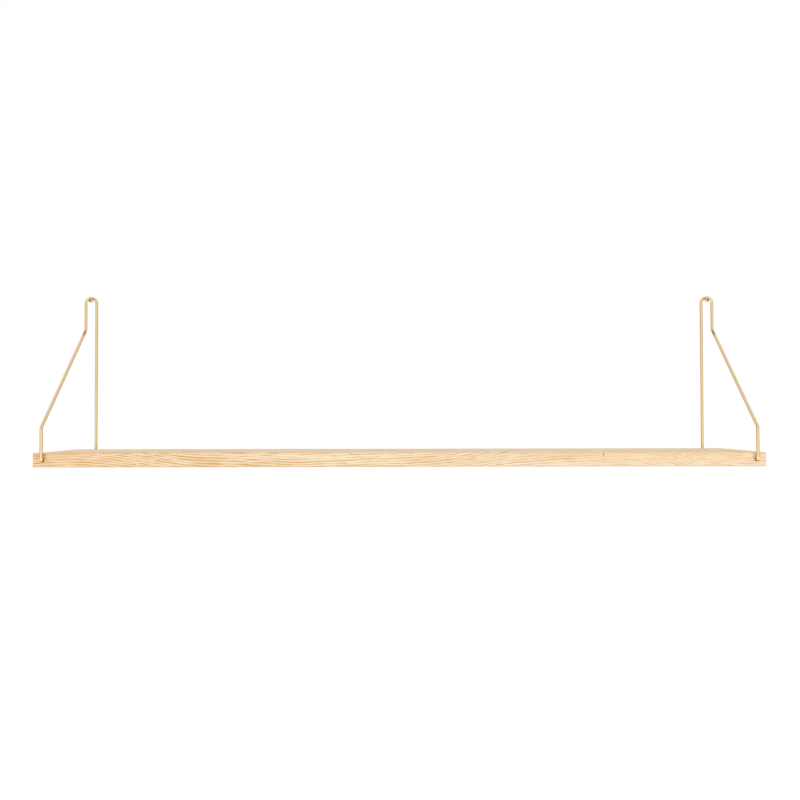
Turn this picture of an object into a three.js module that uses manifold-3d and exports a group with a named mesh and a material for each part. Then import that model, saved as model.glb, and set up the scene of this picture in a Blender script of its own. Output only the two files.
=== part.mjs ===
// A wall shelf: a board of edge-glued ash staves, carried at each end by one bent brass rod.
// Each rod hooks into the board's front and rear edges and hangs on a wall screw by its loop.
// Units are millimetres. X runs along the wall, -Y points out of the wall and +Z points up.
// The origin lies on the wall's face, midway between the two wall screws.

import * as THREE from "three";
import { mergeVertices } from "three/addons/utils/BufferGeometryUtils.js";
import Module from "manifold-3d";

// Board
const boardLength = 1200;
const boardDepth = 200;
const boardThickness = 23;
const staveCount = 4;
const glueLine = 0.1;
const arrisRadius = 1.5;

// Rod brackets. Rises are heights above the board's top.
const rodDiameter = 5;
const bracketInset = 25.5; // from the board's end to the middle of a bracket
const loopRise = 284; // to the outside of the loop
const upperBendRise = 221.5; // to the corner where the arm leaves the short leg
const lowerBendRise = 42; // to the corner where the arm meets the front leg
const armInnerRadius = 5;
const hookInnerRadius = 2;
const hookLength = 12; // inside the board
const legStandOff = 1.5; // between a leg and the board's edge

// Holes in the board's edges
const hookHoleClearance = 0.5; // all round the rod
const hookHoleDepth = 16;
const hookHoleChamfer = 0.6;
const drillTipSlope = 0.6; // height of the drill's point over its radius

// Wall screws
const screwShankDiameter = 4.5;
const screwCoreDiameter = 4;
const screwHeadDiameter = 9;
const screwHeadHeight = 3;
const screwGrip = 45; // length inside the wall
const screwTipLength = 5;
const screwShankGrip = 3; // plain shank past the wall's face
const recessSpan = 4.8;
const recessWidth = 1.1;
const recessDepth = 1.8;

// Wall plugs
const plugDiameter = 8;
const plugLength = 40;
const plugSunk = 0.3; // behind the wall's face
const plugNoseDiameter = 7;
const plugNoseLength = 6;
const plugSlitWidth = 1.2;
const plugSlitStart = 14; // from the plug's mouth

// Clearances between pieces that touch or pass
const seatGap = 0.3; // where one piece rests on another
const headClearance = 2; // between the rod and the back of a screw's head
const loopHeadClearance = 3; // between the loop's legs and a screw's head
const plugBoreClearance = 0.3; // between a screw and its plug

// Fineness of the round shapes
const rodSides = 20;
const bendSteps = 8;
const arrisSteps = 4;
const turnedSides = 24;
const stepsPerSegment = 2; // three.js steps along an arc for each of its curve segments
const cutOverrun = 5; // how far a cutting shape runs past the face that it cuts

// Worked out from the sizes above
const rodRadius = rodDiameter / 2;
const loopRadius = screwHeadDiameter / 2 + loopHeadClearance + rodRadius;
const loopTop = screwShankDiameter / 2 + seatGap + rodRadius; // of the centre line
const boardTop = loopTop + rodRadius - loopRise;
const boardMiddle = boardTop - boardThickness / 2;
const boardRear = -(rodDiameter + legStandOff);
const boardFront = boardRear - boardDepth;
const hookHoleRadius = rodRadius + hookHoleClearance;
const hookHeight = boardMiddle + hookHoleClearance - seatGap; // the board hangs on the hooks
const screwOffset = boardLength / 2 - bracketInset;
const headBack = -(rodDiameter + headClearance);

const wasm = await Module();
wasm.setup();

// --- Solids -------------------------------------------------------------------------------

function toSolid(geometry) {
  const bare = geometry.clone();
  bare.deleteAttribute("normal");
  bare.deleteAttribute("uv");
  const merged = mergeVertices(bare);
  return new wasm.Manifold(
    new wasm.Mesh({
      numProp: 3,
      vertProperties: merged.attributes.position.array,
      triVerts: new Uint32Array(merged.index.array),
    }),
  );
}

function toGeometry(solid) {
  const mesh = solid.getMesh();
  const geometry = new THREE.BufferGeometry();
  geometry.setAttribute("position", new THREE.BufferAttribute(mesh.vertProperties, 3));
  geometry.setIndex(new THREE.BufferAttribute(mesh.triVerts, 1));
  geometry.computeVertexNormals();
  return geometry;
}

function piece(name, geometry, material) {
  const mesh = new THREE.Mesh(geometry, material);
  mesh.name = name;
  return mesh;
}

// --- Materials ----------------------------------------------------------------------------

function ashMaterial() {
  return new THREE.MeshStandardMaterial({ color: 0xf1d4ac, roughness: 0.6, metalness: 0 });
}

function brassMaterial() {
  return new THREE.MeshStandardMaterial({ color: 0xdcbc82, roughness: 0.3, metalness: 1 });
}

function screwMaterial() {
  return new THREE.MeshStandardMaterial({ color: 0xc9ad74, roughness: 0.35, metalness: 1 });
}

function nylonMaterial() {
  return new THREE.MeshStandardMaterial({ color: 0xb9bcc0, roughness: 0.55, metalness: 0 });
}

// --- Board --------------------------------------------------------------------------------

// A flat panel with rounded corners, centred on the origin, its thickness along Z.
function roundedPanel(width, height, thickness) {
  const right = width / 2 - arrisRadius;
  const top = height / 2 - arrisRadius;
  const outline = new THREE.Shape();
  const corners = [
    [right, top],
    [-right, top],
    [-right, -top],
    [right, -top],
  ];
  corners.forEach(([x, y], i) => {
    const turned = (i * Math.PI) / 2;
    outline.absarc(x, y, arrisRadius, turned, turned + Math.PI / 2, false);
  });
  outline.closePath();
  const geometry = new THREE.ExtrudeGeometry(outline, {
    depth: thickness,
    bevelEnabled: false,
    curveSegments: arrisSteps / stepsPerSegment,
  });
  return geometry.translate(0, 0, -thickness / 2);
}

// The whole board with every arris rounded: what its plan, elevation and section share.
function boardBlank() {
  const plan = roundedPanel(boardLength, boardDepth, boardThickness);
  const elevation = roundedPanel(boardLength, boardThickness, boardDepth);
  elevation.rotateX(Math.PI / 2);
  const section = roundedPanel(boardDepth, boardThickness, boardLength);
  section.rotateX(Math.PI / 2).rotateZ(Math.PI / 2);
  return toSolid(plan).intersect(toSolid(elevation)).intersect(toSolid(section));
}

// A drilled hole with a countersunk mouth at the origin, running along +Y.
function hookHole() {
  const mouthRadius = hookHoleRadius + hookHoleChamfer + cutOverrun;
  const profile = [
    new THREE.Vector2(0, -cutOverrun),
    new THREE.Vector2(mouthRadius, -cutOverrun),
    new THREE.Vector2(hookHoleRadius, hookHoleChamfer),
    new THREE.Vector2(hookHoleRadius, hookHoleDepth),
    new THREE.Vector2(0, hookHoleDepth + hookHoleRadius * drillTipSlope),
  ];
  return new THREE.LatheGeometry(profile, turnedSides);
}

// The strip of the board that one stave takes, with half a glue line left out at each joint.
function staveStrip(index) {
  const pitch = boardDepth / staveCount;
  const isFirst = index === 0;
  const isLast = index === staveCount - 1;
  const front = -boardDepth / 2 + index * pitch + (isFirst ? -cutOverrun : glueLine / 2);
  const rear = -boardDepth / 2 + (index + 1) * pitch + (isLast ? cutOverrun : -glueLine / 2);
  const strip = new THREE.BoxGeometry(
    boardLength + 2 * cutOverrun,
    rear - front,
    boardThickness + 2 * cutOverrun,
  );
  return toSolid(strip.translate(0, (front + rear) / 2, 0));
}

function board() {
  const group = new THREE.Group();
  group.position.set(0, (boardFront + boardRear) / 2, boardMiddle);
  let drilled = boardBlank();
  for (const side of [-1, 1]) {
    const frontHole = hookHole().translate(side * (screwOffset + loopRadius), -boardDepth / 2, 0);
    const rearHole = hookHole()
      .rotateX(Math.PI)
      .translate(side * (screwOffset - loopRadius), boardDepth / 2, 0);
    drilled = drilled.subtract(toSolid(frontHole)).subtract(toSolid(rearHole));
  }
  for (let index = 0; index < staveCount; index++) {
    const stave = drilled.intersect(staveStrip(index));
    group.add(piece(`board_stave_${index + 1}`, toGeometry(stave), ashMaterial()));
  }
  return group;
}

// --- Rod brackets -------------------------------------------------------------------------

// The sections along a bent rod: one at each end, and a few round every bend.
function rodStations(corners) {
  const stations = [];
  const add = (point, tangent) => {
    const last = stations.at(-1);
    if (!last || last.point.distanceTo(point) > cutOverrun * 1e-3) {
      stations.push({ point, tangent });
    }
  };
  const heading = (i) => corners[i + 1].at.clone().sub(corners[i].at).normalize();
  add(corners[0].at, heading(0));
  for (let i = 1; i < corners.length - 1; i++) {
    const { at, radius } = corners[i];
    const before = heading(i - 1);
    const after = heading(i);
    const turn = before.angleTo(after);
    const start = at.clone().addScaledVector(before, -radius * Math.tan(turn / 2));
    const inward = after.clone().addScaledVector(before, -after.dot(before)).normalize();
    for (let step = 0; step <= bendSteps; step++) {
      const angle = (turn * step) / bendSteps;
      const point = start
        .clone()
        .addScaledVector(before, radius * Math.sin(angle))
        .addScaledVector(inward, radius * (1 - Math.cos(angle)));
      const tangent = before
        .clone()
        .multiplyScalar(Math.cos(angle))
        .addScaledVector(inward, Math.sin(angle));
      add(point, tangent);
    }
  }
  add(corners.at(-1).at, heading(corners.length - 2));
  return stations;
}

// A curve that is only read at its stations, so that each straight takes a single step.
class StationCurve extends THREE.Curve {
  constructor(stations) {
    super();
    this.stations = stations;
  }

  getUtoTmapping(u) {
    return u;
  }

  station(t) {
    return this.stations[Math.round(t * (this.stations.length - 1))];
  }

  getPoint(t, target = new THREE.Vector3()) {
    return target.copy(this.station(t).point);
  }

  getTangent(t, target = new THREE.Vector3()) {
    return target.copy(this.station(t).tangent);
  }
}

// One bracket about its own screw. The short leg and the arm are on the side of the board's end.
function rodBracket(side) {
  const longLegX = -side * loopRadius;
  const armX = side * loopRadius;
  const wallY = -rodRadius;
  const frontLegY = boardFront - legStandOff - rodRadius;
  const hookRadius = hookInnerRadius + rodRadius;
  const armRadius = armInnerRadius + rodRadius;
  const corner = (x, y, z, radius = 0) => ({ at: new THREE.Vector3(x, y, z), radius });
  const stations = rodStations([
    corner(longLegX, boardRear - hookLength, hookHeight),
    corner(longLegX, wallY, hookHeight, hookRadius),
    corner(longLegX, wallY, loopTop, loopRadius),
    corner(armX, wallY, loopTop, loopRadius),
    corner(armX, wallY, boardTop + upperBendRise, armRadius),
    corner(armX, frontLegY, boardTop + lowerBendRise, armRadius),
    corner(armX, frontLegY, hookHeight, hookRadius),
    corner(armX, boardFront + hookLength, hookHeight),
  ]);
  const section = new THREE.Shape();
  section.absarc(0, 0, rodRadius, 0, 2 * Math.PI, false);
  return new THREE.ExtrudeGeometry(section, {
    steps: stations.length - 1,
    extrudePath: new StationCurve(stations),
    curveSegments: rodSides / stepsPerSegment,
  });
}

// --- Wall fixings -------------------------------------------------------------------------

// A pan-head screw along +Y, its head standing off the wall far enough to take the rod behind it.
function wallScrew() {
  const headRadius = screwHeadDiameter / 2;
  const shankRadius = screwShankDiameter / 2;
  const coreRadius = screwCoreDiameter / 2;
  const headFront = headBack - screwHeadHeight;
  const profile = [
    new THREE.Vector2(0, headFront),
    new THREE.Vector2(headRadius * 0.5, headFront),
    new THREE.Vector2(headRadius * 0.8, headFront + screwHeadHeight * 0.12),
    new THREE.Vector2(headRadius * 0.95, headFront + screwHeadHeight * 0.35),
    new THREE.Vector2(headRadius, headFront + screwHeadHeight * 0.7),
    new THREE.Vector2(headRadius, headBack - screwHeadHeight * 0.1),
    new THREE.Vector2(headRadius * 0.93, headBack),
    new THREE.Vector2(shankRadius, headBack),
    new THREE.Vector2(shankRadius, screwShankGrip),
    new THREE.Vector2(coreRadius, screwShankGrip + shankRadius - coreRadius),
    new THREE.Vector2(coreRadius, screwGrip - screwTipLength),
    new THREE.Vector2(0, screwGrip),
  ];
  let screw = toSolid(new THREE.LatheGeometry(profile, turnedSides));
  for (const turned of [0, Math.PI / 2]) {
    const slot = new THREE.BoxGeometry(recessSpan, 2 * recessDepth, recessWidth);
    slot.rotateY(turned).translate(0, headFront, 0);
    screw = screw.subtract(toSolid(slot));
  }
  return toGeometry(screw);
}

// A plug along +Y with a bore that clears its screw, slit from behind its mouth to its nose.
function wallPlug() {
  const outer = plugDiameter / 2;
  const nose = plugNoseDiameter / 2;
  const bore = screwShankDiameter / 2 + plugBoreClearance;
  const mouth = plugSunk;
  const end = plugSunk + plugLength;
  const profile = [
    new THREE.Vector2(bore, mouth),
    new THREE.Vector2(outer, mouth),
    new THREE.Vector2(outer, end - plugNoseLength),
    new THREE.Vector2(nose, end),
    new THREE.Vector2(bore, end),
    new THREE.Vector2(bore, mouth),
  ];
  const sleeve = toSolid(new THREE.LatheGeometry(profile, turnedSides));
  const slitLength = plugLength - plugSlitStart + cutOverrun;
  const slit = new THREE.BoxGeometry(plugSlitWidth, slitLength, plugDiameter + cutOverrun);
  slit.translate(0, mouth + plugSlitStart + slitLength / 2, 0);
  return toGeometry(sleeve.subtract(toSolid(slit)));
}

// --- Assembly -----------------------------------------------------------------------------

// What stands at one end: the bracket, the screw that it hangs on and the screw's plug.
function endSet(hand, side) {
  const group = new THREE.Group();
  group.position.set(side * screwOffset, 0, 0);
  group.add(piece(`${hand}_rod_bracket`, rodBracket(side), brassMaterial()));
  group.add(piece(`${hand}_wall_screw`, wallScrew(), screwMaterial()));
  group.add(piece(`${hand}_wall_plug`, wallPlug(), nylonMaterial()));
  return group;
}

const shelf = new THREE.Group();
shelf.add(board());
shelf.add(endSet("left", -1));
shelf.add(endSet("right", 1));

export default shelf;
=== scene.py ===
"""Wall shelf: a board of edge-glued ash staves, hung at each end from a screw by a bent brass rod.

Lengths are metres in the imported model's frame: X runs along the wall, -Y points into the room and
+Z points up, with the origin on the wall's face, midway between the two screws.
"""

import math

import bmesh
import bpy
from bpy.props import FloatProperty, FloatVectorProperty, IntProperty, PointerProperty
from mathutils import Matrix, Vector


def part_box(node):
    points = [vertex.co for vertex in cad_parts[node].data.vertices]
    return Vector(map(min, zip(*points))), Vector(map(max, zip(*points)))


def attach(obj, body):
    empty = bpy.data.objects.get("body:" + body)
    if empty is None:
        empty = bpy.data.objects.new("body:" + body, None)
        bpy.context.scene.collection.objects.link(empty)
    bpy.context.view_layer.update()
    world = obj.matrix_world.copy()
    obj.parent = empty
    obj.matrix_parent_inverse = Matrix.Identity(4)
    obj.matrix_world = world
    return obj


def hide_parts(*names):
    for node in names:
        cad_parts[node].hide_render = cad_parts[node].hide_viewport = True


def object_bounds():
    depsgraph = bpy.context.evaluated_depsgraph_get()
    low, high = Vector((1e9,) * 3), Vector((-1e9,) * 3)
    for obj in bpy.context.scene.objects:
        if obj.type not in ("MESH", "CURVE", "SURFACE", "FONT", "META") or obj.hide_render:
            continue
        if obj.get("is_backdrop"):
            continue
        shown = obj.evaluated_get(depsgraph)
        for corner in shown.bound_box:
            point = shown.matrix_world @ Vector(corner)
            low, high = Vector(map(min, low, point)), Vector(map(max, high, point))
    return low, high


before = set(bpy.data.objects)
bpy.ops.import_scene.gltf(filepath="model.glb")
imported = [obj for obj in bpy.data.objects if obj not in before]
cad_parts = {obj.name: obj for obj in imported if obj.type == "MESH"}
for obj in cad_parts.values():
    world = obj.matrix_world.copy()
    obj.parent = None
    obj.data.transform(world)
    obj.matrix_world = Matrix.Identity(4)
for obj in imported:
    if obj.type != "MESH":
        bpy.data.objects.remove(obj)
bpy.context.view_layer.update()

bl_info = {
    "name": "Rod Bracket Wall Shelf",
    "version": (1, 0, 0),
    "blender": (4, 5, 0),
    "location": "3D View > Sidebar > Shelf",
    "description": "Builds a wooden wall shelf on bent brass rod brackets",
    "category": "Object",
}

MM = 0.001
X_AXIS = Vector((1, 0, 0))
Y_AXIS = Vector((0, 1, 0))
QUARTER_TURN = math.pi / 2
SMOOTH_ANGLE = math.radians(35)
NEAR = 0.1 * MM  # two faces nearer than this lie in one plane
FAR_AWAY = 1000.0  # a reach so long that its axis doesn't count
STAVES = ("board_stave_1", "board_stave_2", "board_stave_3", "board_stave_4")
SIDES = (("left", -1), ("right", 1))
HOLDING_BODY = "wall_fixings"
HUNG_BODY = "shelf"


def length(name, description, millimetres):
    """A length that a user would change, with its default given in millimetres."""
    return FloatProperty(
        name=name,
        description=description,
        default=millimetres * MM,
        min=0.0,
        subtype="DISTANCE",
        unit="LENGTH",
    )


def tilt(name, description, radians):
    """An angle that a user would change."""
    return FloatProperty(name=name, description=description, default=radians, subtype="ANGLE")


def colour(name, description, rgb):
    """A colour that a user would change, as linear red, green and blue."""
    return FloatVectorProperty(
        name=name,
        description=description,
        default=rgb,
        size=3,
        min=0.0,
        max=1.0,
        subtype="COLOR",
    )


# --- Sizes and colours --------------------------------------------------------------------------


class BoardSettings(bpy.types.PropertyGroup):
    """Sizes and colours of the board."""

    arris_radius: length("Arris radius", "Rounding of the board's outer edges", 1.5)
    hole_radius: length("Hole radius", "Radius of the holes that take the rods' hooks", 3.0)
    hole_depth: length("Hole depth", "Depth of a hook hole up to its drill point", 16.0)
    hole_chamfer: length("Hole chamfer", "Countersink at the mouth of a hook hole", 0.6)
    ring_spacing: length("Ring spacing", "Usual width of one growth ring", 4.2)
    late_wood: colour("Late wood", "The dense pale part of each ring", (0.685, 0.60, 0.432))
    early_wood: colour("Early wood", "The porous darker part of each ring", (0.47, 0.22, 0.045))
    pore: colour("Pores", "The shadow inside the open pores", (0.36, 0.19, 0.08))
    knot: colour("Knot", "The pin knot in the front edge", (0.38, 0.16, 0.045))


class BracketSettings(bpy.types.PropertyGroup):
    """Sizes and colours of the bent rods."""

    rod_radius: length("Rod radius", "Half the thickness of the rod", 2.5)
    hook_length: length("Hook length", "How far a rod's end reaches into the board", 12.0)
    hook_inner_radius: length("Hook inner radius", "Inside of the bend at each hook", 2.0)
    arm_inner_radius: length("Arm inner radius", "Inside of the bends above and below the arm", 5.0)
    upper_bend_rise: length("Upper bend rise", "The arm's top corner above the board", 221.5)
    lower_bend_rise: length("Lower bend rise", "The arm's bottom corner above the board", 42.0)
    end_chamfer: length("End chamfer", "Chamfer on the rod's cut ends", 0.5)
    brass: colour("Brass", "The rod's metal", (0.82, 0.62, 0.34))
    tarnish: colour("Tarnish", "Where the metal has dulled", (0.66, 0.44, 0.21))
    # Painted reflection: the rod's dark orange image of itself, just below the upper bend.
    bend_reflection: colour("Bend reflection", "Painted reflection of the rod itself below the upper bend", (0.52, 0.30, 0.11))
    reflection_length: length("Reflection length", "How far the painted reflection runs down the arm", 14.0)


class FixingSettings(bpy.types.PropertyGroup):
    """Sizes and colours of the screws and plugs."""

    shank_radius: length("Shank radius", "Plain part of the screw, which the loop hangs on", 2.25)
    core_radius: length("Core radius", "Root of the screw's thread", 1.75)
    head_height: length("Head height", "Thickness of the screw's head", 3.0)
    recess_span: length("Recess span", "Across the wings of the screw's cross recess", 5.6)
    recess_width: length("Recess width", "Width of a wing of the cross recess at its mouth", 2.0)
    recess_depth: length("Recess depth", "How deep the cross recess is cut", 1.7)
    thread_pitch: length("Thread pitch", "Advance of the thread in one turn", 1.8)
    plug_bore: length("Plug bore", "Radius of the bore through the plug", 2.55)
    plug_rib: length("Plug rib", "How far the ribs stand out of the plug's sleeve", 0.45)
    plating: colour("Plating", "The screw's yellow plating", (0.76, 0.58, 0.29))
    # Painted shade: the dark walls of the screw's cross recess.
    recess_shade: colour("Recess shade", "Painted shade on the walls of the recess", (0.07, 0.05, 0.03))
    nylon: colour("Nylon", "The plug's plastic", (0.45, 0.47, 0.50))


class StageSettings(bpy.types.PropertyGroup):
    """Where the camera, the floor and the lights are."""

    camera_distance: length("Camera distance", "From the wall's face to the camera", 1678.0)
    camera_rise: length("Camera rise", "Height of the camera above the board's top", 55.1)
    camera_offset: FloatProperty(
        name="Camera offset",
        description="How far the camera stands to the right of the middle",
        default=-6.7 * MM,
        subtype="DISTANCE",
        unit="LENGTH",
    )
    lens: FloatProperty(
        name="Lens",
        description="Focal length in millimetres",
        default=40.46,
        min=10,
    )
    yaw: tilt("Yaw", "Camera's turn to the left", -0.0045)
    pitch: tilt("Pitch", "Camera's tilt upwards", 0.0212)
    roll: tilt("Roll", "Camera's turn about its view", -0.0016)
    floor_drop: length("Floor drop", "Height of the board above the floor", 1400.0)
    floor_size: IntProperty(
        name="Floor size",
        description="Side of the floor in metres",
        default=40,
        min=4,
    )
    light_width: length("Light width", "Width of each soft light", 350.0)
    light_height: length("Light height", "Height of each soft light", 500.0)
    light_power: FloatProperty(
        name="Light power",
        description="Power of each soft light",
        default=9.0,
        min=0.0,
        unit="POWER",
    )


# --- Modelling helpers --------------------------------------------------------------------------


def pick(piece):
    """Makes one piece the only one selected, out of edit mode."""
    finish_edit()
    bpy.ops.object.select_all(action="DESELECT")
    piece.select_set(True)
    bpy.context.view_layer.objects.active = piece


def start_edit(piece):
    """Makes one piece the only one selected, and opens it for editing with none of it selected."""
    pick(piece)
    bpy.ops.object.mode_set(mode="EDIT")
    bpy.ops.mesh.select_all(action="DESELECT")


def finish_edit():
    """Leaves edit mode if it is open."""
    if bpy.context.object and bpy.context.object.mode != "OBJECT":
        bpy.ops.object.mode_set(mode="OBJECT")


def select_in(piece, kind, test):
    """Selects only those faces, edges or verts of the piece being edited for which test is true."""
    bpy.ops.mesh.select_mode(type={"faces": "FACE", "edges": "EDGE", "verts": "VERT"}[kind])
    bpy.ops.mesh.select_all(action="DESELECT")
    shape = bmesh.from_edit_mesh(piece.data)
    shape.normal_update()
    for element in getattr(shape, kind):
        if test(element):
            element.select_set(True)
    shape.select_flush(kind == "verts")
    bmesh.update_edit_mesh(piece.data)


def new_primitive(add, name, **values):
    """Adds a primitive with nothing else selected, names it and puts its place into its mesh."""
    finish_edit()
    bpy.ops.object.select_all(action="DESELECT")
    add(**values)
    piece = bpy.context.object
    piece.name = name
    piece.data.name = name
    bpy.ops.object.transform_apply(location=True, rotation=True, scale=True)
    return piece


def add_block(name, low, high):
    """A box between two corners."""
    return new_primitive(
        bpy.ops.mesh.primitive_cube_add,
        name,
        size=1.0,
        location=(low + high) / 2,
        scale=high - low,
    )


def add_disc(name, centre, radius, sides):
    """A filled circle that faces along Y."""
    return new_primitive(
        bpy.ops.mesh.primitive_circle_add,
        name,
        vertices=sides,
        radius=radius,
        fill_type="NGON",
        location=centre,
        rotation=(QUARTER_TURN, 0, 0),
    )


def push(offset):
    """Extrudes the selected face by an offset."""
    bpy.ops.mesh.extrude_region_move(TRANSFORM_OT_translate={"value": tuple(offset)})


def widen(ratio, centre):
    """Scales the selected ring about a point on a turned piece's axis, which runs along Y."""
    bpy.ops.transform.resize(value=(ratio, 1.0, ratio), center_override=tuple(centre))


def turned_piece(name, centre, sections, sides):
    """A round piece along Y, from (distance along Y, radius) sections, with a point at radius 0."""
    start, radius = sections[0]
    piece = add_disc(name, centre + Y_AXIS * start, radius, sides)
    start_edit(piece)
    bpy.ops.mesh.select_all(action="SELECT")
    for place, wider in sections[1:]:
        push(Y_AXIS * (place - start))
        if wider == 0:
            bpy.ops.mesh.merge(type="CENTER")
        else:
            widen(wider / radius, centre + Y_AXIS * place)
        start, radius = place, wider
    face_outwards()
    finish_edit()
    return piece


def face_outwards():
    """Turns every face of the piece being edited outwards."""
    bpy.ops.mesh.select_all(action="SELECT")
    bpy.ops.mesh.normals_make_consistent(inside=False)
    bpy.ops.mesh.select_all(action="DESELECT")


def apply_modifier(piece, kind, **settings):
    """Adds a modifier to a piece and applies it at once."""
    pick(piece)
    modifier = piece.modifiers.new(kind.lower(), kind)
    for key, value in settings.items():
        setattr(modifier, key, value)
    bpy.ops.object.modifier_apply(modifier=modifier.name)


def cut(piece, cutter):
    """Cuts one piece with another, and deletes the cutter."""
    apply_modifier(piece, "BOOLEAN", operation="DIFFERENCE", solver="EXACT", object=cutter)
    bpy.data.objects.remove(cutter)


def unite(piece, other):
    """Makes one solid of two, and deletes the second."""
    apply_modifier(piece, "BOOLEAN", operation="UNION", solver="EXACT", object=other)
    bpy.data.objects.remove(other)


def copy_piece(piece, name):
    """A copy of a piece with its own mesh, open for editing with all of it selected."""
    pick(piece)
    bpy.ops.object.duplicate(linked=False)
    made = bpy.context.object
    made.name = name
    made.data.name = name
    start_edit(made)
    bpy.ops.mesh.select_all(action="SELECT")
    return made


def mirrored_copy(piece, name):
    """A copy of a piece for the shelf's other end, as its mirror image."""
    made = copy_piece(piece, name)
    bpy.ops.transform.resize(value=(-1, 1, 1), center_override=(0, 0, 0))
    face_outwards()
    finish_edit()
    return made


def moved_copy(piece, name, offset, turn, axis_point):
    """A copy of a piece for the shelf's other end, moved, and turned about its own axis along Y."""
    made = copy_piece(piece, name)
    bpy.ops.transform.rotate(value=turn, orient_axis="Y", center_override=tuple(axis_point))
    bpy.ops.transform.translate(value=tuple(offset))
    finish_edit()
    return made


def finish_piece(piece, node, body, material):
    """Smooths a piece, gives it its material and puts it in the place of its CAD node."""
    pick(piece)
    bpy.ops.object.shade_smooth_by_angle(angle=SMOOTH_ANGLE)
    apply_modifier(piece, "WEIGHTED_NORMAL", keep_sharp=True)
    piece.data.materials.clear()
    piece.data.materials.append(material)
    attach(piece, body)
    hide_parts(node)


# --- Material helpers ---------------------------------------------------------------------------


class Recipe:
    """A node material in the making, or a node world."""

    def __init__(self, name, library=None):
        library = bpy.data.materials if library is None else library
        self.material = library.new(name)
        self.material.use_nodes = True
        self.tree = self.material.node_tree
        self.tree.nodes.clear()

    def node(self, kind, sockets=None, **settings):
        """Adds a node, sets its settings, and sets or links its input sockets."""
        made = self.tree.nodes.new(kind)
        for key, value in settings.items():
            setattr(made, key, value)
        for key, value in (sockets or {}).items():
            if isinstance(value, bpy.types.NodeSocket):
                self.tree.links.new(value, made.inputs[key])
            else:
                made.inputs[key].default_value = value
        return made

    def math(self, operation, a, b=0.0, c=0.0, clamp=False):
        """The result of one sum on numbers."""
        made = self.node("ShaderNodeMath", {0: a, 1: b, 2: c}, operation=operation, use_clamp=clamp)
        return made.outputs[0]

    def object_place(self):
        """A point's place in the piece's own space."""
        return self.node("ShaderNodeTexCoord").outputs["Object"]

    def scaled(self, vector, scale, offset=(0, 0, 0)):
        """A vector with each part scaled, then moved."""
        sockets = {0: vector, 1: scale, 2: offset}
        return self.node("ShaderNodeVectorMath", sockets, operation="MULTIPLY_ADD").outputs[0]

    def far_from(self, vector, centre, reach):
        """How far a place is from a centre, as a share of a reach along each axis."""
        scale = [1 / part for part in reach]
        offset = [-part / size for part, size in zip(centre, reach)]
        scaled = self.scaled(vector, scale, offset)
        return self.node("ShaderNodeVectorMath", {0: scaled}, operation="LENGTH").outputs["Value"]

    def noise(self, vector, scale=1.0, detail=2.0, roughness=0.5):
        """Smooth noise from 0 to 1."""
        sockets = {"Vector": vector, "Scale": scale, "Detail": detail, "Roughness": roughness}
        return self.node("ShaderNodeTexNoise", sockets).outputs[0]

    def rise(self, value, low, high, to_low=0.0, to_high=1.0):
        """Maps a number from one range to another, smoothly and without leaving it."""
        sockets = {0: value, 1: low, 2: high, 3: to_low, 4: to_high}
        made = self.node("ShaderNodeMapRange", sockets, interpolation_type="SMOOTHSTEP")
        return made.outputs[0]

    def mix(self, factor, a, b):
        """The second colour mixed into the first."""
        made = self.node("ShaderNodeMix", data_type="RGBA")
        for index, value in ((0, factor), (6, a), (7, b)):
            if isinstance(value, bpy.types.NodeSocket):
                self.tree.links.new(value, made.inputs[index])
            else:
                made.inputs[index].default_value = value
        return made.outputs[2]

    def bump(self, height, strength, distance):
        """A normal from a height map."""
        sockets = {"Height": height, "Strength": strength, "Distance": distance}
        return self.node("ShaderNodeBump", sockets).outputs[0]

    def finish(self, **sockets):
        """Ends in a Principled shader, with underscores in socket names read as spaces."""
        named = {key.replace("_", " "): value for key, value in sockets.items()}
        shader = self.node("ShaderNodeBsdfPrincipled", named)
        self.node("ShaderNodeOutputMaterial", {"Surface": shader.outputs[0]})
        return self.material


def opaque(rgb):
    """A colour setting as the four numbers that a colour socket takes."""
    return (*rgb, 1.0)


# --- Board --------------------------------------------------------------------------------------

ARRIS_SEGMENTS = 5
HOLE_SIDES = 48
DRILL_POINT = 0.6  # height of a drill's point, as a share of its radius
ALONG = 0.999  # least cosine between an edge and the axis that it runs along


def is_along(edge, axis):
    """Whether an edge runs along an axis."""
    run = edge.verts[1].co - edge.verts[0].co
    return abs(run.normalized().dot(axis)) > ALONG


def bracket_lines(settings, hand, side):
    """Where along the wall a bracket's arm and its long leg run, at the middle of the rod."""
    low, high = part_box(hand + "_rod_bracket")
    lines = (high.x - settings.rod_radius, low.x + settings.rod_radius)
    return lines if side > 0 else lines[::-1]


def add_hook_hole_cutter(settings, mouth, inwards):
    """A drill's shape: a countersink at the mouth, the hole and the drill's point, along Y."""
    overrun = settings.hole_radius
    radius, depth, chamfer = settings.hole_radius, settings.hole_depth, settings.hole_chamfer
    sections = [
        (-overrun, radius + chamfer + overrun),
        (chamfer, radius),
        (depth, radius),
        (depth + DRILL_POINT * radius, 0),
    ]
    sections = [(inwards * place, wide) for place, wide in sections]
    return turned_piece("hook_hole_cutter", mouth, sections, HOLE_SIDES)


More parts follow.
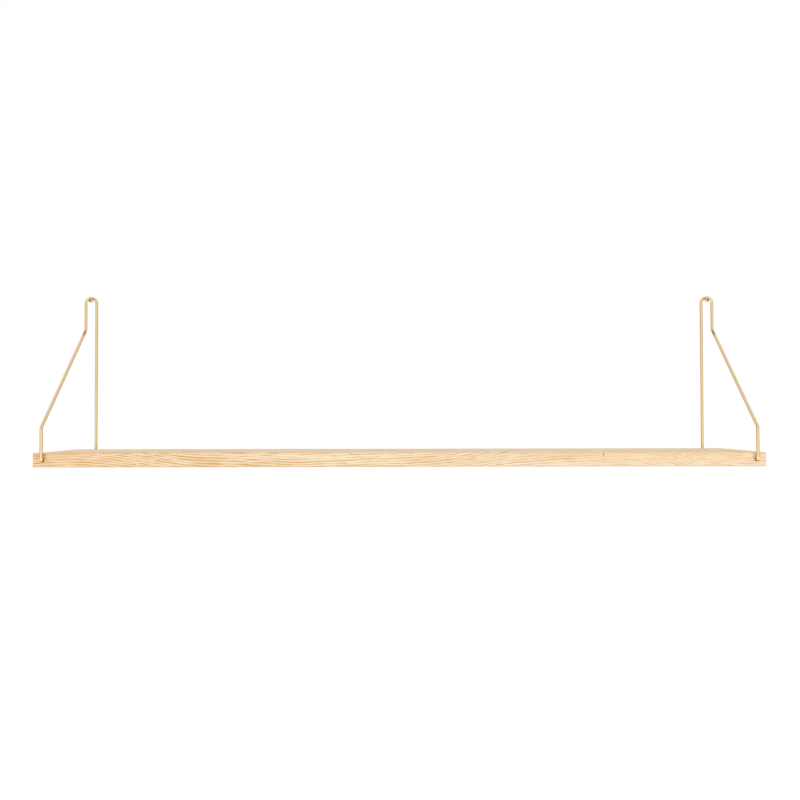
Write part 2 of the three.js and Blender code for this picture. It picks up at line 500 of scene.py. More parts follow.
def add_stave(settings, node):
    """One stave, with those of the board's rounded arrises and hook holes that fall to it."""
    board_low, board_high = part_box(STAVES[0])[0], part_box(STAVES[-1])[1]
    low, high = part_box(node)
    piece = add_block(node.replace("board", "ash"), low, high)
    start_edit(piece)

    def is_outer_arris(edge):
        middle = (edge.verts[0].co + edge.verts[1].co) / 2
        on_edge_face = min(abs(middle.y - board_low.y), abs(middle.y - board_high.y)) < NEAR
        return on_edge_face or is_along(edge, Y_AXIS)

    select_in(piece, "edges", is_outer_arris)
    bpy.ops.mesh.bevel(offset=settings.arris_radius, segments=ARRIS_SEGMENTS, affect="EDGES")
    finish_edit()
    middle_z = (low.z + high.z) / 2
    for hand, side in SIDES:
        arm_x, leg_x = bracket_lines(bpy.context.scene.shelf_bracket, hand, side)
        if abs(low.y - board_low.y) < NEAR:
            cut(piece, add_hook_hole_cutter(settings, Vector((arm_x, low.y, middle_z)), 1))
        if abs(high.y - board_high.y) < NEAR:
            cut(piece, add_hook_hole_cutter(settings, Vector((leg_x, high.y, middle_z)), -1))
    return piece


class Wood:
    """How one stave was cut from its log, and what its timber is like."""

    def __init__(
        self,
        pith,
        tone,
        drift=0.0,
        run=None,
        warm_ends=(0.0, 0.0),
        ring_strengths=None,
        knot=None,
    ):
        self.pith = pith  # where the pith runs, as Y and Z
        self.tone = tone  # how pale the stave is
        self.drift = drift  # the rings' steady climb along the stave
        self.run = run  # the grain's own rise along the stave, as (place, rise) points
        self.warm_ends = warm_ends  # how much warmer the left and right ends are
        self.ring_strengths = ring_strengths  # how strongly the rings show at each end
        self.knot = knot  # the middle of a pin knot

    def seed(self):
        """An offset that gives each stave patterns of its own."""
        return (self.pith[0] * 90, self.pith[1] * 70, self.pith[0] * 50)


def timber():
    """What each stave is cut from, from the board's front to its rear."""
    low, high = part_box(STAVES[0])
    knot = Vector((0.333, low.y, high.z - 2.5 * MM))
    run = ((-0.6, 0.026), (-0.3, 0.001), (0.0, 0.0), (0.27, 0.028), (0.36, 0.030), (0.6, 0.006))
    return (
        Wood(
            pith=(-0.19, -0.41),
            tone=1.0,
            run=run,
            warm_ends=(0.3, 0.12),
            ring_strengths=(1.35, 0.65),
            knot=knot,
        ),
        Wood(pith=(-0.10, -0.19), tone=0.97, drift=-0.008),
        Wood(pith=(-0.11, -0.42), tone=1.02, drift=0.012),
        Wood(pith=(0.01, -0.23), tone=0.98, drift=-0.006),
    )


# How many waves a metre each pattern in the timber has, along the stave and then across it.
PITH_WANDER = (3.0, 0, 0)
RING_WOBBLE = (9, 30, 30)
RING_RIPPLE = (30, 150, 150)
RING_BREAKS = (24, 330, 330)
WARM_PATCHES = (5, 40, 40)
STREAKS = (34, 950, 950)
FIBRES = (60, 2600, 2600)
PORES = (110, 2300, 2300)
PORE_SEED = (0.4, 0.7, 0.2)

# The pin knot, and the swirl of the grain beside it: half their sizes along X, Y and Z.
KNOT_REACH = (1.4 * MM, 9 * MM, 4.5 * MM)
SWIRL_REACH = (22 * MM, 16 * MM, 12 * MM)
SWIRL_OFFSET = X_AXIS * 9 * MM
SWIRL_DEPTH = 6 * MM

HALF_LENGTH = 0.6  # half of the board's length, by which the patterns along it are laid out
GRAIN_RANGE = 0.05  # the most that the grain may rise


def grain_run(recipe, along, run):
    """The rise of the grain along a stave, as a smooth curve through its points."""
    made = recipe.node("ShaderNodeFloatCurve", {"Value": recipe.math("DIVIDE", along, HALF_LENGTH)})
    curve = made.mapping.curves[0]
    made.mapping.use_clip = False
    curve.points[0].location = (-1, 0)
    curve.points[1].location = (1, 0)
    for place, rise in run:
        curve.points.new(place / HALF_LENGTH, rise / GRAIN_RANGE)
    made.mapping.update()
    return recipe.math("MULTIPLY", made.outputs[0], GRAIN_RANGE)


def ring_radius(recipe, place, along, wood):
    """How far from the pith a point's ring is. The pith wanders, and the rings wobble about it."""
    from_pith = recipe.scaled(place, (0, 1, 1), (0, -wood.pith[0], -wood.pith[1]))
    radius = recipe.node("ShaderNodeVectorMath", {0: from_pith}, operation="LENGTH")
    radius = radius.outputs["Value"]
    for waves, detail, depth in (
        (PITH_WANDER, 1, 14 * MM),
        (RING_WOBBLE, 2, 8 * MM),
        (RING_RIPPLE, 1, 1.3 * MM),
    ):
        shift = recipe.noise(recipe.scaled(place, waves, wood.seed()), detail=detail)
        radius = recipe.math("MULTIPLY_ADD", shift, depth, radius)
    radius = recipe.math("MULTIPLY_ADD", along, wood.drift, radius)
    if wood.run:
        radius = recipe.math("SUBTRACT", radius, grain_run(recipe, along, wood.run))
    if wood.knot:
        swirl = recipe.far_from(place, wood.knot + SWIRL_OFFSET, SWIRL_REACH)
        swirl = recipe.rise(swirl, 0.0, 1.0, to_low=1.0, to_high=0.0)
        radius = recipe.math("MULTIPLY_ADD", swirl, SWIRL_DEPTH, radius)
    return radius


def ring_shades(recipe, settings, place, along, wood):
    """How dark the rings make a point, and how far into its ring's early wood it is."""
    rings = recipe.math("DIVIDE", ring_radius(recipe, place, along, wood), settings.ring_spacing)
    phase = recipe.math("FRACT", rings)
    year = recipe.node(
        "ShaderNodeTexWhiteNoise",
        {"W": recipe.math("FLOOR", rings)},
        noise_dimensions="1D",
    ).outputs["Value"]
    # Early wood starts at once and fades outwards; late wood darkens a little before the next ring.
    early = recipe.rise(phase, 0.05, 0.55, to_low=1.0, to_high=0.0)
    last = recipe.rise(phase, 0.9, 1.0, to_high=0.6)
    broken = recipe.noise(recipe.scaled(place, RING_BREAKS, wood.seed()), detail=3, roughness=0.6)
    broken = recipe.rise(broken, 0.38, 0.60, to_low=0.15, to_high=1.15)
    yearly = recipe.rise(year, 0.0, 1.0, to_low=0.6, to_high=1.15)
    banding = recipe.math("MULTIPLY", recipe.math("MAXIMUM", early, last), broken)
    banding = recipe.math("MULTIPLY", banding, yearly, clamp=True)
    if wood.ring_strengths:
        at_left, at_right = wood.ring_strengths
        strength = recipe.rise(along, -HALF_LENGTH, 0.5, to_low=at_left, to_high=at_right)
        banding = recipe.math("MULTIPLY", banding, strength, clamp=True)
    return banding, early


def timber_warmth(recipe, place, along, wood):
    """How warm and dark the colour is: in patches of the timber, and more towards the stave's ends.
    """
    patch = recipe.noise(recipe.scaled(place, WARM_PATCHES, wood.seed()), detail=2)
    warmth = recipe.rise(patch, 0.35, 0.75, to_high=0.25)
    for (_, side), warmer in zip(SIDES, wood.warm_ends):
        outwards = recipe.math("MULTIPLY", along, side)
        warmth = recipe.math("ADD", warmth, recipe.rise(outwards, 0.1, 0.62, to_high=warmer))
    return warmth


def ash_material(settings, name, wood):
    """Oiled ash, solid through the stave: growth rings about a pith line, pores and fine fibres."""
    recipe = Recipe(name)
    place = recipe.object_place()
    along = recipe.node("ShaderNodeSeparateXYZ", {0: place}).outputs[0]
    banding, early = ring_shades(recipe, settings, place, along, wood)
    warmth = timber_warmth(recipe, place, along, wood)
    streak = recipe.noise(recipe.scaled(place, STREAKS, wood.seed()), detail=2, roughness=0.6)
    fibre = recipe.noise(recipe.scaled(place, FIBRES), detail=3, roughness=0.65)
    pores = recipe.noise(recipe.scaled(place, PORES, PORE_SEED), detail=1)
    pores = recipe.rise(pores, 0.58, 0.68)
    pores = recipe.math("MULTIPLY", pores, recipe.rise(early, 0.1, 0.8, to_low=0.08))
    late_wood = opaque([part * wood.tone for part in settings.late_wood])
    early_wood = opaque([part * wood.tone for part in settings.early_wood])
    shade = recipe.mix(banding, late_wood, early_wood)
    for stain_and_shade in (
        warmth,
        recipe.rise(streak, 0.45, 0.72, to_high=0.36),
        recipe.rise(fibre, 0.3, 0.7, to_high=0.14),
    ):
        shade = recipe.mix(stain_and_shade, shade, early_wood)
    pore_shadow = 0.55
    shade = recipe.mix(recipe.math("MULTIPLY", pores, pore_shadow), shade, opaque(settings.pore))
    if wood.knot:
        from_knot = recipe.far_from(place, wood.knot, KNOT_REACH)
        in_knot = recipe.rise(from_knot, 0.5, 1.3, to_low=0.75, to_high=0.0)
        shade = recipe.mix(in_knot, shade, opaque(settings.knot))
    # Cut ends soak up more oil. The rounded arrises are darker too: the front top and rear bottom
    # ones a little, and the rear top and front bottom ones, where a normal's Y and Z have the same
    # sign, the most, as painted shade of the dark gap to the wall and of the board's underside.
    facing = recipe.node("ShaderNodeNewGeometry").outputs["Normal"]
    facing = recipe.node("ShaderNodeSeparateXYZ", {0: facing}).outputs
    arris = recipe.math("MULTIPLY", facing[1], facing[2])
    for stain_and_shade in (
        recipe.rise(recipe.math("ABSOLUTE", facing[0]), 0.75, 0.97, to_high=0.32),
        recipe.rise(arris, 0.02, 0.4, to_high=0.5),
        recipe.rise(arris, -0.1, -0.45, to_high=0.2),
    ):
        shade = recipe.mix(stain_and_shade, shade, early_wood)
    groove_share = 0.35
    grooves = recipe.math("SUBTRACT", recipe.math("MULTIPLY", fibre, groove_share), pores)
    return recipe.finish(
        Base_Color=shade,
        Roughness=recipe.rise(fibre, 0.2, 0.8, to_low=0.46, to_high=0.62),
        Normal=recipe.bump(grooves, strength=0.35, distance=0.12 * MM),
        Specular_IOR_Level=0.5,
    )


# --- Rod brackets -------------------------------------------------------------------------------

ROD_SIDES = 32
BEND_STEPS = 10
LOOP_STEPS = 24
# The next number places the painted reflection of the rod in itself, just below the upper bend.
REFLECTION_MIDDLE = 0.55  # where the tint's middle is after the upper bend, as a share of its length


class RodBender:
    """Makes a bent rod as a bender does: feeds straights and turns bends, from its first end.

    It keeps where every section of the rod is, so that a pattern can follow the rod.
    """

    def __init__(self, name, start, radius, chamfer, sides):
        self.radius = radius
        self.place = start.copy()
        self.heading = Y_AXIS.copy()
        self.across = X_AXIS.copy()
        self.fed = 0.0
        self.sections = []
        self.piece = add_disc(name, start, radius - chamfer, sides)
        start_edit(self.piece)
        bpy.ops.mesh.select_all(action="SELECT")
        self.note()
        self.feed(chamfer)
        widen(radius / (radius - chamfer), self.place)

    def note(self):
        """Remembers the section where the rod now ends."""
        self.sections.append((self.place.copy(), self.heading.copy(), self.across.copy(), self.fed))

    def feed(self, distance):
        """A straight."""
        push(self.heading * distance)
        self.place += self.heading * distance
        self.fed += distance
        self.note()

    def turn(self, axis, angle, bend_radius, steps):
        """A bend about an axis, by the right-hand rule, with its radius at the rod's middle."""
        inward = axis.cross(self.heading) * math.copysign(1.0, angle)
        centre = self.place + inward * bend_radius
        bpy.ops.mesh.spin(
            steps=steps,
            angle=-angle,
            center=tuple(centre),
            axis=tuple(axis),
        )
        step = Matrix.Rotation(angle / steps, 3, axis)
        for _ in range(steps):
            self.place = centre + step @ (self.place - centre)
            self.heading = (step @ self.heading).normalized()
            self.across = step @ self.across
            self.fed += abs(angle) * bend_radius / steps
            self.note()

    def end(self, chamfer):
        """The rod's other end, with the same chamfer as the first."""
        self.feed(chamfer)
        ratio = (self.radius - chamfer) / self.radius
        bpy.ops.transform.resize(value=(ratio, ratio, ratio), center_override=tuple(self.place))
        face_outwards()
        finish_edit()
        self.note_straightened()
        return self.piece

    def note_straightened(self):
        """Stores where each vertex would be on the rod before bending, with its length along Z."""
        stored = self.piece.data.attributes.new("straightened", "FLOAT_VECTOR", "POINT")
        for vertex, entry in zip(self.piece.data.vertices, stored.data):
            place, heading, across, fed = min(
                self.sections,
                key=lambda section: (vertex.co - section[0]).length_squared,
            )
            out = vertex.co - place
            entry.vector = (out.dot(across), out.dot(heading.cross(across)), fed)


def add_bracket(settings, hand, side):
    """One rod: a hook, the long leg, the loop, the short leg, the arm, the front leg, a hook.

    The second result is how far along the rod the middle of the painted reflection below the upper
    bend is.
    """
    low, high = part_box(hand + "_rod_bracket")
    board_low, board_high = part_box(STAVES[0])[0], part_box(STAVES[-1])[1]
    radius = settings.rod_radius
    arm_x, leg_x = bracket_lines(settings, hand, side)
    wall_y, front_y = high.y - radius, low.y + radius
    hook_z, loop_top = low.z + radius, high.z - radius
    loop_radius = abs(arm_x - leg_x) / 2
    hook_radius = settings.hook_inner_radius + radius
    arm_radius = settings.arm_inner_radius + radius
    upper_z = board_high.z + settings.upper_bend_rise
    lower_z = board_high.z + settings.lower_bend_rise
    lean = math.atan2(wall_y - front_y, upper_z - lower_z)
    setback = arm_radius * math.tan(lean / 2)
    arm_length = math.hypot(wall_y - front_y, upper_z - lower_z) - 2 * setback
    rear_end = board_high.y - settings.hook_length
    front_end = board_low.y + settings.hook_length
    chamfer = settings.end_chamfer
    start = Vector((leg_x, rear_end, hook_z))
    bender = RodBender(hand + "_brass_rod", start, radius, chamfer, ROD_SIDES)
    bender.feed(wall_y - hook_radius - rear_end - chamfer)
    bender.turn(X_AXIS, QUARTER_TURN, hook_radius, BEND_STEPS)
    bender.feed(loop_top - loop_radius - hook_z - hook_radius)
    bender.turn(Y_AXIS, side * math.pi, loop_radius, LOOP_STEPS)
    bender.feed(loop_top - loop_radius - upper_z - setback)
    bender.turn(X_AXIS, -lean, arm_radius, BEND_STEPS)
    reflection_place = bender.fed + REFLECTION_MIDDLE * settings.reflection_length
    bender.feed(arm_length)
    bender.turn(X_AXIS, lean, arm_radius, BEND_STEPS)
    bender.feed(lower_z - setback - hook_z - hook_radius)
    bender.turn(X_AXIS, QUARTER_TURN, hook_radius, BEND_STEPS)
    bender.feed(front_end - front_y - hook_radius - chamfer)
    return bender.end(chamfer), reflection_place


# How many waves a metre each pattern on the rod has, twice across it and then along it.
DRAWN_LINES = (5200, 5200, 18)
DULL_CLOUDS = (160, 160, 34)
SCUFFS = (900, 900, 260)
SCUFF_SEED = (4, 2, 7)


def brass_material(settings, reflection_place):
    """Drawn brass, brushed along its length, dulled here and there, with a painted reflection below
    the upper bend.
    """
    recipe = Recipe("drawn_brass")
    place = recipe.node(
        "ShaderNodeAttribute",
        attribute_name="straightened",
        attribute_type="GEOMETRY",
    ).outputs["Vector"]
    drawn = recipe.noise(recipe.scaled(place, DRAWN_LINES), detail=3, roughness=0.6)
    cloud = recipe.noise(recipe.scaled(place, DULL_CLOUDS), detail=3, roughness=0.6)
    scuff = recipe.noise(recipe.scaled(place, SCUFFS, SCUFF_SEED), detail=2)
    brass, tarnish = opaque(settings.brass), opaque(settings.tarnish)
    shade = recipe.mix(recipe.rise(cloud, 0.45, 0.8, to_high=0.16), brass, tarnish)
    shade = recipe.mix(recipe.rise(drawn, 0.35, 0.75, to_high=0.1), shade, tarnish)
    # Painted reflection: the rod's dark orange image of itself, painted just below the upper bend.
    fed = recipe.node("ShaderNodeSeparateXYZ", {0: place}).outputs[2]
    from_reflection = recipe.math("ABSOLUTE", recipe.math("SUBTRACT", fed, reflection_place))
    full_to, none_from = 0.35 * settings.reflection_length, 0.6 * settings.reflection_length
    reflection_share = recipe.rise(from_reflection, full_to, none_from, to_low=0.85, to_high=0.0)
    shade = recipe.mix(reflection_share, shade, opaque(settings.bend_reflection))
    polish = recipe.rise(cloud, 0.3, 0.8, to_low=0.11, to_high=0.17)
    scuffed = recipe.rise(scuff, 0.5, 0.8, to_high=0.06)
    return recipe.finish(
        Base_Color=shade,
        Roughness=recipe.math("ADD", polish, scuffed),
        Normal=recipe.bump(drawn, strength=0.1, distance=0.01 * MM),
        Metallic=1.0,
    )


# --- Wall fixings -------------------------------------------------------------------------------

FIXING_SIDES = 40
DOME_STEPS = 6
HEAD_FLAT = 0.35  # the flat middle of a screw's head, as a share of its radius
HEAD_RIM = 0.3  # the straight rim of the head, as a share of its height
HEAD_EDGE = 0.15 * MM  # the broken edge at the back of the head
NECK = 0.25 * MM  # the chamfer between the head's back and the shank
THREAD_START = 3 * MM
POINT_LENGTH = 5 * MM
THREAD_STEPS = 28
LEAST_THREAD = 0.12  # what is left of the thread's size at the screw's tip
RECESS_TAPER = (0.5, 1.0, 0.75)  # the recess's bottom against its mouth
SECOND_HEAD_TURN = math.radians(25)


def node_axis(node):
    """The point on the wall's face that a screw's or plug's axis passes through."""
    low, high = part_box(node)
    return Vector(((low.x + high.x) / 2, 0, (low.z + high.z) / 2))


def add_screw(settings, hand):
    """A pan-head screw: domed head with a cross recess, plain shank and a thread to its point."""
    low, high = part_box(hand + "_wall_screw")
    axis = node_axis(hand + "_wall_screw")
    head_radius = (high.x - low.x) / 2
    head_front, tip = low.y, high.y
    head_back = head_front + settings.head_height
    shank, core = settings.shank_radius, settings.core_radius
    tip_start = tip - POINT_LENGTH
    dome_height = settings.head_height - HEAD_RIM * settings.head_height
    sections = [(head_front, HEAD_FLAT * head_radius)]
    for step in range(1, DOME_STEPS + 1):
        angle = QUARTER_TURN * step / DOME_STEPS
        out = HEAD_FLAT + (1 - HEAD_FLAT) * math.sin(angle)
        down = dome_height * (1 - math.cos(angle))
        sections.append((head_front + down, out * head_radius))
    sections += [
        (head_back - HEAD_EDGE, head_radius),
        (head_back, head_radius - HEAD_EDGE),
        (head_back, shank + NECK),
        (head_back + NECK, shank),
        (THREAD_START - (shank - core), shank),
        (THREAD_START, core),
        (tip_start, core),
        (tip, 0),
    ]
    piece = turned_piece(hand + "_plated_screw", axis, sections, FIXING_SIDES)
    for turned in (0, QUARTER_TURN):
        cut(piece, add_recess_cutter(settings, axis + Y_AXIS * head_front, turned))
    add_thread(settings, piece, axis, tip_start, tip)
    return piece


def add_recess_cutter(settings, centre, turned):
    """One wing pair of the cross recess, narrower at its bottom."""
    half_mouth = Vector((settings.recess_span / 2, 0, settings.recess_width / 2))
    overrun = 0.2 * MM
    mouth = centre - Y_AXIS * overrun
    bottom = centre + Y_AXIS * settings.recess_depth
    piece = add_block("recess_cutter", mouth - half_mouth, bottom + half_mouth)
    start_edit(piece)
    select_in(piece, "faces", lambda face: face.normal.y > ALONG)
    bpy.ops.transform.resize(value=RECESS_TAPER, center_override=tuple(bottom))
    bpy.ops.mesh.select_all(action="SELECT")
    bpy.ops.transform.rotate(value=turned, orient_axis="Y", center_override=tuple(centre))
    finish_edit()
    return piece


def add_thread(settings, piece, axis, tip_start, tip):
    """A ridge wound round the screw's core, which shrinks towards the tip."""
    core, crest, pitch = settings.core_radius, settings.shank_radius, settings.thread_pitch
    sunk, half_base = 0.1 * MM, 0.3 * pitch
    ridge = new_primitive(
        bpy.ops.mesh.primitive_circle_add,
        piece.name + "_thread",
        vertices=3,
        radius=1.0,
        fill_type="NGON",
    )
    profile = ((core - sunk, -half_base), (crest, 0.0), (core - sunk, half_base))
    for vertex, (out, up) in zip(ridge.data.vertices, profile):
        vertex.co = (out, up, 0)
    turns = math.floor((tip - 2 * half_base - THREAD_START) / pitch)
    apply_modifier(
        ridge,
        "SCREW",
        axis="Y",
        angle=2 * math.pi,
        screw_offset=pitch,
        iterations=turns,
        steps=THREAD_STEPS,
        render_steps=THREAD_STEPS,
        use_merge_vertices=False,
    )
    for vertex in ridge.data.vertices:
        y = vertex.co.y + THREAD_START + half_base
        left = min(1.0, max(LEAST_THREAD, (tip - y) / (tip - tip_start)))
        vertex.co = axis + Vector((vertex.co.x * left, y, vertex.co.z * left))
    start_edit(ridge)
    bpy.ops.mesh.select_mode(type="EDGE")
    bpy.ops.mesh.select_non_manifold()
    bpy.ops.mesh.fill_holes(sides=3)
    face_outwards()
    finish_edit()
    unite(piece, ridge)


# How many waves a metre each pattern on the screws and plugs has, along X, Y and Z.
PLATING_CLOUDS = (420, 420, 420)
PLATING_GRAIN = (4200, 4200, 4200)
MOULD_GRAIN = (2400, 2400, 2400)
MOULD_FLOW = (500, 90, 500)


def plating_material(settings):
    """Yellow zinc plating, faintly uneven, with a fine satin grain, and painted shade in the cross
    recess.
    """
    recipe = Recipe("yellow_plating")
    place = recipe.object_place()
    cloud = recipe.noise(recipe.scaled(place, PLATING_CLOUDS), detail=3)
    grain = recipe.noise(recipe.scaled(place, PLATING_GRAIN), detail=2)
    dull = 0.7
    darker = opaque([dull * part for part in settings.plating])
    clouded = recipe.rise(cloud, 0.4, 0.7, to_high=0.6)
    shade = recipe.mix(clouded, opaque(settings.plating), darker)
    # Painted shade darkens the walls of the cross recess; the middle of its floor keeps the
    # plating's colour.
    axis, front = node_axis("right_wall_screw"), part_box("right_wall_screw")[0].y
    mirrored = recipe.node("ShaderNodeVectorMath", {0: place}, operation="ABSOLUTE").outputs[0]
    margin = 0.3 * MM
    reach = settings.recess_span / 2 + margin
    out = recipe.far_from(mirrored, axis, (reach, FAR_AWAY, reach))
    along = recipe.node("ShaderNodeSeparateXYZ", {0: place}).outputs[1]
    sunk = recipe.rise(recipe.math("SUBTRACT", along, front), margin, 2 * margin)
    inside = recipe.math("MULTIPLY", recipe.math("LESS_THAN", out, 1.0), sunk)
    inside = recipe.math("MULTIPLY", inside, recipe.rise(out, 0.26, 0.34))
    recess_darkness = 0.92
    inside = recipe.math("MULTIPLY", inside, recess_darkness)
    shade = recipe.mix(inside, shade, opaque(settings.recess_shade))
    return recipe.finish(
        Base_Color=shade,
        Roughness=recipe.rise(cloud, 0.3, 0.8, to_low=0.24, to_high=0.42),
        Normal=recipe.bump(grain, strength=0.2, distance=0.02 * MM),
        Metallic=1.0,
    )


# A plug's grip rib, as (share of its pitch, whether it stands out of the sleeve there).
RIB_PROFILE = ((0.25, False), (0.35, True), (0.5, True), (1.0, False))


def add_plug(settings, hand):
    """A wall plug: a collar, a ribbed sleeve, a tapered nose, a bore and a slit to spread at."""
    low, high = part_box(hand + "_wall_plug")
    axis = node_axis(hand + "_wall_plug")
    outer = (high.x - low.x) / 2
    sleeve = outer - settings.plug_rib
    collar, collar_edge = 1.2 * MM, 0.2 * MM
    slit_start, half_slit_width = 14 * MM, 0.6 * MM
    nose, nose_taper = 6 * MM, 0.5 * MM
    rib_pitch = 2.4 * MM
    margin = 2 * MM
    sections = [
        (low.y, outer - collar_edge),
        (low.y + collar_edge, outer),
        (low.y + collar, outer),
        (low.y + collar, sleeve),
        (low.y + slit_start, sleeve),
    ]
    for rib in range(math.floor((high.y - nose - low.y - slit_start) / rib_pitch)):
        place = low.y + slit_start + rib * rib_pitch
        for share, stands_out in RIB_PROFILE:
            sections.append((place + share * rib_pitch, outer if stands_out else sleeve))
    sections += [(high.y - nose, sleeve), (high.y, outer - nose_taper - settings.plug_rib)]
    piece = turned_piece(hand + "_nylon_plug", axis, sections, FIXING_SIDES)
    bore = [(low.y - margin, settings.plug_bore), (high.y + margin, settings.plug_bore)]
    cut(piece, turned_piece("bore_cutter", axis, bore, FIXING_SIDES))
    half_slit = Vector((half_slit_width, 0, outer + margin))
    slit_low = axis + Y_AXIS * (low.y + slit_start) - half_slit
    slit_high = axis + Y_AXIS * (high.y + margin) + half_slit
    cut(piece, add_block("slit_cutter", slit_low, slit_high))
    return piece


def nylon_material(settings):
    """Moulded nylon with a fine grain."""
    recipe = Recipe("moulded_nylon")
    place = recipe.object_place()
    grain = recipe.noise(recipe.scaled(place, MOULD_GRAIN), detail=3)
    flow = recipe.noise(recipe.scaled(place, MOULD_FLOW), detail=2)
    lift = 1.25
    paler = opaque([min(1.0, lift * part) for part in settings.nylon])
    return recipe.finish(
        Base_Color=recipe.mix(recipe.rise(flow, 0.35, 0.7), opaque(settings.nylon), paler),
        Roughness=recipe.rise(grain, 0.3, 0.7, to_low=0.45, to_high=0.6),
        Normal=recipe.bump(grain, strength=0.3, distance=0.03 * MM),
        Subsurface_Weight=0.1,
        Subsurface_Scale=2 * MM,
    )


# --- Stage --------------------------------------------------------------------------------------

WHITE = (1, 1, 1, 1)
FLOOR_SHADES = (0.93, 0.93, 0.93, 1), (0.96, 0.96, 0.96, 1)
WARM_ROOM = (0.62, 0.44, 0.29, 1)
ROOM_LIGHT = 0.95
SENSOR_WIDTH = 36.0
LIGHT_PLACE = Vector((1.5, -1.3, 0.05))
LIGHT_TARGET = Vector((0, -0.1, -0.2))


def add_camera(settings):
    """The camera, level with the shelf and a little above the board."""
    data = bpy.data.cameras.new("shelf_camera")
    data.lens = settings.lens
    data.sensor_width = SENSOR_WIDTH
    camera = bpy.data.objects.new("shelf_camera", data)
    bpy.context.scene.collection.objects.link(camera)
    board_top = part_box(STAVES[0])[1].z
    turn = (
        Matrix.Rotation(settings.yaw, 4, "Z")
        @ Matrix.Rotation(QUARTER_TURN + settings.pitch, 4, "X")
        @ Matrix.Rotation(settings.roll, 4, "Z")
    )
    height = board_top + settings.camera_rise
    place = Vector((settings.camera_offset, -settings.camera_distance, height))
    camera.matrix_world = Matrix.Translation(place) @ turn
    bpy.context.scene.camera = camera


def add_floor(settings):
    """A plain pale floor far below the shelf."""
    board_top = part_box(STAVES[0])[1].z
    floor = new_primitive(
        bpy.ops.mesh.primitive_plane_add,
        "floor",
        size=settings.floor_size,
        location=(0, 0, board_top - settings.floor_drop),
    )
    recipe = Recipe("pale_floor")
    grain = recipe.noise(recipe.object_place(), scale=3.0, detail=3)
    floor.data.materials.append(
        recipe.finish(
            Base_Color=recipe.mix(grain, *FLOOR_SHADES),
            Roughness=0.9,
            Emission_Color=WHITE,
            Emission_Strength=0.12,
        )
    )
    floor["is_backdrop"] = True


def add_wall():
    """A white wall that shows only from in front, so that the shelf's back stays in view."""
    low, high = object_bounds()
    behind, side_margin, margin = 0.1 * MM, 0.9, 0.3
    middle = (0, behind, (low.z + high.z) / 2)
    wall = new_primitive(
        bpy.ops.mesh.primitive_plane_add,
        "wall",
        size=1.0,
        location=middle,
        rotation=(QUARTER_TURN, 0, 0),
    )
    start_edit(wall)
    bpy.ops.mesh.select_all(action="SELECT")
    bpy.ops.transform.resize(
        value=(high.x - low.x + 2 * side_margin, 1, high.z - low.z + 2 * margin),
        center_override=middle,
    )
    finish_edit()
    recipe = Recipe("white_wall")
    back = recipe.node("ShaderNodeNewGeometry").outputs["Backfacing"]
    glow = recipe.node("ShaderNodeEmission", {"Color": WHITE, "Strength": 1.0}).outputs[0]
    clear = recipe.node("ShaderNodeBsdfTransparent").outputs[0]
    chosen = recipe.node("ShaderNodeMixShader", {0: back, 1: glow, 2: clear}).outputs[0]
    recipe.node("ShaderNodeOutputMaterial", {"Surface": chosen})
    wall.data.materials.append(recipe.material)
    wall.visible_glossy = False
    wall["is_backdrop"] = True


def add_softbox(settings, hand, side):
    """A large soft light on one side of the camera, facing the shelf."""
    data = bpy.data.lights.new(hand + "_softbox", "AREA")
    data.shape = "RECTANGLE"
    data.size, data.size_y = settings.light_width, settings.light_height
    data.energy = settings.light_power
    light = bpy.data.objects.new(hand + "_softbox", data)
    bpy.context.scene.collection.objects.link(light)
    light.location = (side * LIGHT_PLACE.x, LIGHT_PLACE.y, LIGHT_PLACE.z)
    facing = LIGHT_TARGET - light.location
    light.rotation_euler = facing.to_track_quat("-Z", "Y").to_euler()
    light.visible_camera = False
    light.visible_glossy = False


def add_surroundings():
    """A white room, which lights the shelf mostly from above and shades the brass softly."""
    recipe = Recipe("white_studio", bpy.data.worlds)
    direction = recipe.node("ShaderNodeTexCoord").outputs["Generated"]
    _, inwards, upwards = recipe.node("ShaderNodeSeparateXYZ", {0: direction}).outputs
    ray = recipe.node("ShaderNodeLightPath").outputs
    fill = recipe.rise(upwards, 0.0, 0.8, to_low=0.60, to_high=1.48)
    # The brass reflects a card behind the camera, brighter below, and a warm room on the far side.
    behind_camera = recipe.rise(inwards, -0.75, -0.9)
    card = recipe.rise(upwards, -0.03, 0.06, to_low=0.28, to_high=0.05)
    reflected = recipe.math("MULTIPLY_ADD", behind_camera, card, ROOM_LIGHT)
    far_side = recipe.math(
        "MULTIPLY",
        recipe.rise(inwards, -0.25, 0.15),
        recipe.rise(upwards, 0.25, 0.6, to_low=1.0, to_high=0.0),
    )
    reflected = recipe.mix(far_side, reflected, WARM_ROOM)
    lit = recipe.mix(ray["Is Glossy Ray"], fill, reflected)
    seen = recipe.mix(ray["Is Camera Ray"], lit, WHITE)
    sky = recipe.node("ShaderNodeBackground", {"Color": seen})
    recipe.node("ShaderNodeOutputWorld", {"Surface": sky.outputs[0]})
    bpy.context.scene.world = recipe.material


# --- Operators ----------------------------------------------------------------------------------


class SHELF_OT_add_stage(bpy.types.Operator):
    """Adds the camera, the floor, the lights and the white surroundings"""

    bl_idname = "shelf.add_stage"
    bl_label = "Add stage"

    def execute(self, context):
        settings = context.scene.shelf_stage
        add_camera(settings)
        add_floor(settings)
        add_wall()
        for hand, side in SIDES:
            add_softbox(settings, hand, side)
        add_surroundings()
        context.scene.view_settings.view_transform = "Standard"
        return {"FINISHED"}


class SHELF_OT_add_board(bpy.types.Operator):
    """Adds the board's four ash staves"""

    bl_idname = "shelf.add_board"
    bl_label = "Add board"

    def execute(self, context):
        settings = context.scene.shelf_board
        for node, wood in zip(STAVES, timber()):
            material = ash_material(settings, node.replace("board", "oiled_ash"), wood)
            finish_piece(add_stave(settings, node), node, HUNG_BODY, material)
        return {"FINISHED"}


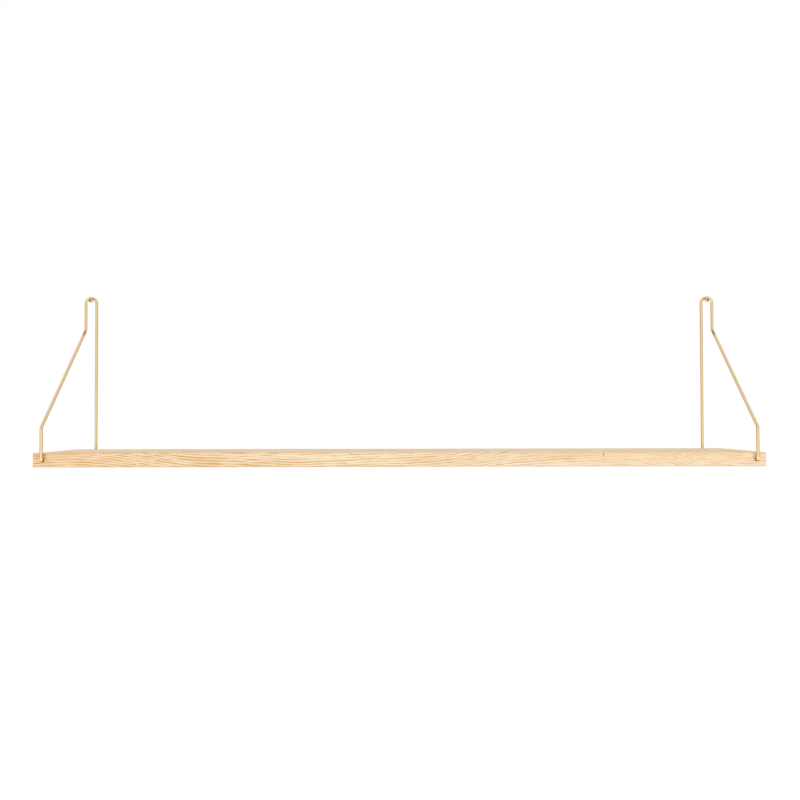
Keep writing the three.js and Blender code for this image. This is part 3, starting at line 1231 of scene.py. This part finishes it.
class SHELF_OT_add_brackets(bpy.types.Operator):
    """Adds the two bent brass rods"""

    bl_idname = "shelf.add_brackets"
    bl_label = "Add brackets"

    def execute(self, context):
        settings = context.scene.shelf_bracket
        left, reflection_place = add_bracket(settings, "left", -1)
        material = brass_material(settings, reflection_place)
        right = mirrored_copy(left, "right_brass_rod")
        for piece, node in ((left, "left_rod_bracket"), (right, "right_rod_bracket")):
            finish_piece(piece, node, HUNG_BODY, material)
        return {"FINISHED"}


class SHELF_OT_add_fixings(bpy.types.Operator):
    """Adds the two wall screws and their plugs"""

    bl_idname = "shelf.add_fixings"
    bl_label = "Add wall fixings"

    def execute(self, context):
        settings = context.scene.shelf_fixing
        plating = plating_material(settings)
        nylon = nylon_material(settings)
        axis = node_axis("left_wall_screw")
        across = node_axis("right_wall_screw") - axis
        screw = add_screw(settings, "left")
        plug = add_plug(settings, "left")
        other_screw = moved_copy(screw, "right_plated_screw", across, SECOND_HEAD_TURN, axis)
        other_plug = moved_copy(plug, "right_nylon_plug", across, 0.0, axis)
        for piece, node in ((screw, "left_wall_screw"), (other_screw, "right_wall_screw")):
            finish_piece(piece, node, HOLDING_BODY, plating)
        for piece, node in ((plug, "left_wall_plug"), (other_plug, "right_wall_plug")):
            finish_piece(piece, node, HOLDING_BODY, nylon)
        return {"FINISHED"}


class SHELF_PT_build(bpy.types.Panel):
    """Lists the shelf's operators in the sidebar"""

    bl_label = "Wall shelf"
    bl_idname = "SHELF_PT_build"
    bl_space_type = "VIEW_3D"
    bl_region_type = "UI"
    bl_category = "Shelf"

    def draw(self, context):
        for operator in OPERATORS:
            self.layout.operator(operator.bl_idname)


SETTINGS = {
    "shelf_board": BoardSettings,
    "shelf_bracket": BracketSettings,
    "shelf_fixing": FixingSettings,
    "shelf_stage": StageSettings,
}
OPERATORS = (SHELF_OT_add_stage, SHELF_OT_add_board, SHELF_OT_add_brackets, SHELF_OT_add_fixings)


def register():
    """Registers the settings, the operators and the panel."""
    for name, settings in SETTINGS.items():
        bpy.utils.register_class(settings)
        setattr(bpy.types.Scene, name, PointerProperty(type=settings))
    for operator in OPERATORS:
        bpy.utils.register_class(operator)
    bpy.utils.register_class(SHELF_PT_build)


def unregister():
    """Takes back what register did."""
    bpy.utils.unregister_class(SHELF_PT_build)
    for operator in reversed(OPERATORS):
        bpy.utils.unregister_class(operator)
    for name, settings in SETTINGS.items():
        delattr(bpy.types.Scene, name)
        bpy.utils.unregister_class(settings)


def main():
    """Builds the shelf and its stage."""
    register()
    bpy.ops.shelf.add_stage()
    bpy.ops.shelf.add_board()
    bpy.ops.shelf.add_brackets()
    bpy.ops.shelf.add_fixings()


if __name__ == "__main__":
    main()
